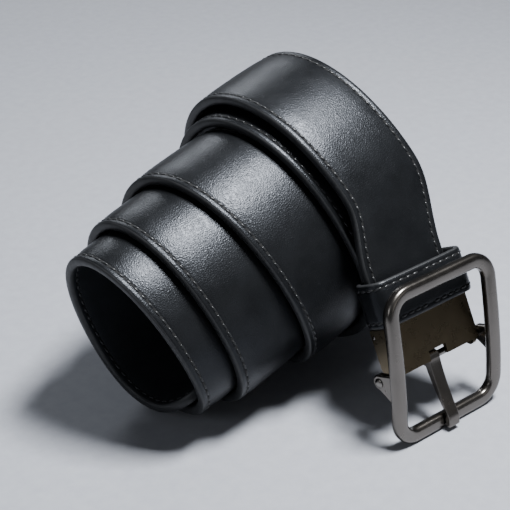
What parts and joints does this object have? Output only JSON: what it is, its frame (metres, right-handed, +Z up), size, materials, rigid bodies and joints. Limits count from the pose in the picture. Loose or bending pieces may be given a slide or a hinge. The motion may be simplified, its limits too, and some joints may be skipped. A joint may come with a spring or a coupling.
{
  "type": "leather belt",
  "caption": "Rolled leather dress belt with a padded lined strap, keeper loop and clamp-on frame buckle whose frame and prong turn on one pin.",
  "frame": {"origin": "middle of the footprint of the rolled belt, on the surface it stands on", "axes": "+Z up; the roll's axis runs mostly along +X and rises towards it; the buckle faces -Y"},
  "size_m": [0.1238, 0.1232, 0.106],
  "materials": {
    "leather": "smooth fine-grained black leather, soft sheen",
    "lining": "matt black lining leather",
    "filler": "bonded leather board, hidden",
    "gunmetal": "satin gunmetal plating",
    "steel": "plain steel"
  },
  "bodies": {
    "strap": {"strap_face": "leather", "strap_filler": "filler", "strap_lining": "lining", "clamp_housing": "gunmetal", "jaw_pin": "steel", "pivot_pin": "steel"},
    "keeper": {"keeper_face": "leather", "keeper_lining": "lining", "keeper_staple": "steel"},
    "jaw": {"clamp_jaw": "gunmetal"},
    "frame": {"buckle_frame": "gunmetal"},
    "prong": {"prong": "gunmetal"}
  },
  "joints": [
    {"name": "frame_pivot", "type": "hinge", "parent": "strap", "child": "frame", "pos_m": [0.02464, -0.04789, 0.02248], "axis": [0.9962, -0.0872, 0], "range_deg": [-3, 40]},
    {"name": "prong_pivot", "type": "hinge", "parent": "frame", "child": "prong", "pos_m": [0.02464, -0.04789, 0.02248], "axis": [0.9962, -0.0872, 0], "range_deg": [-92, 0]},
    {"name": "jaw_hinge", "type": "hinge", "parent": "strap", "child": "jaw", "pos_m": [0.02544, -0.03873, 0.03293], "axis": [0.9962, -0.0872, 0], "range_deg": [0, 15]},
    {"name": "keeper_slide", "type": "slide", "parent": "strap", "child": "keeper", "axis": [0.0423, 0.483, 0.8746], "range_m": [0, 0.003]}
  ]
}
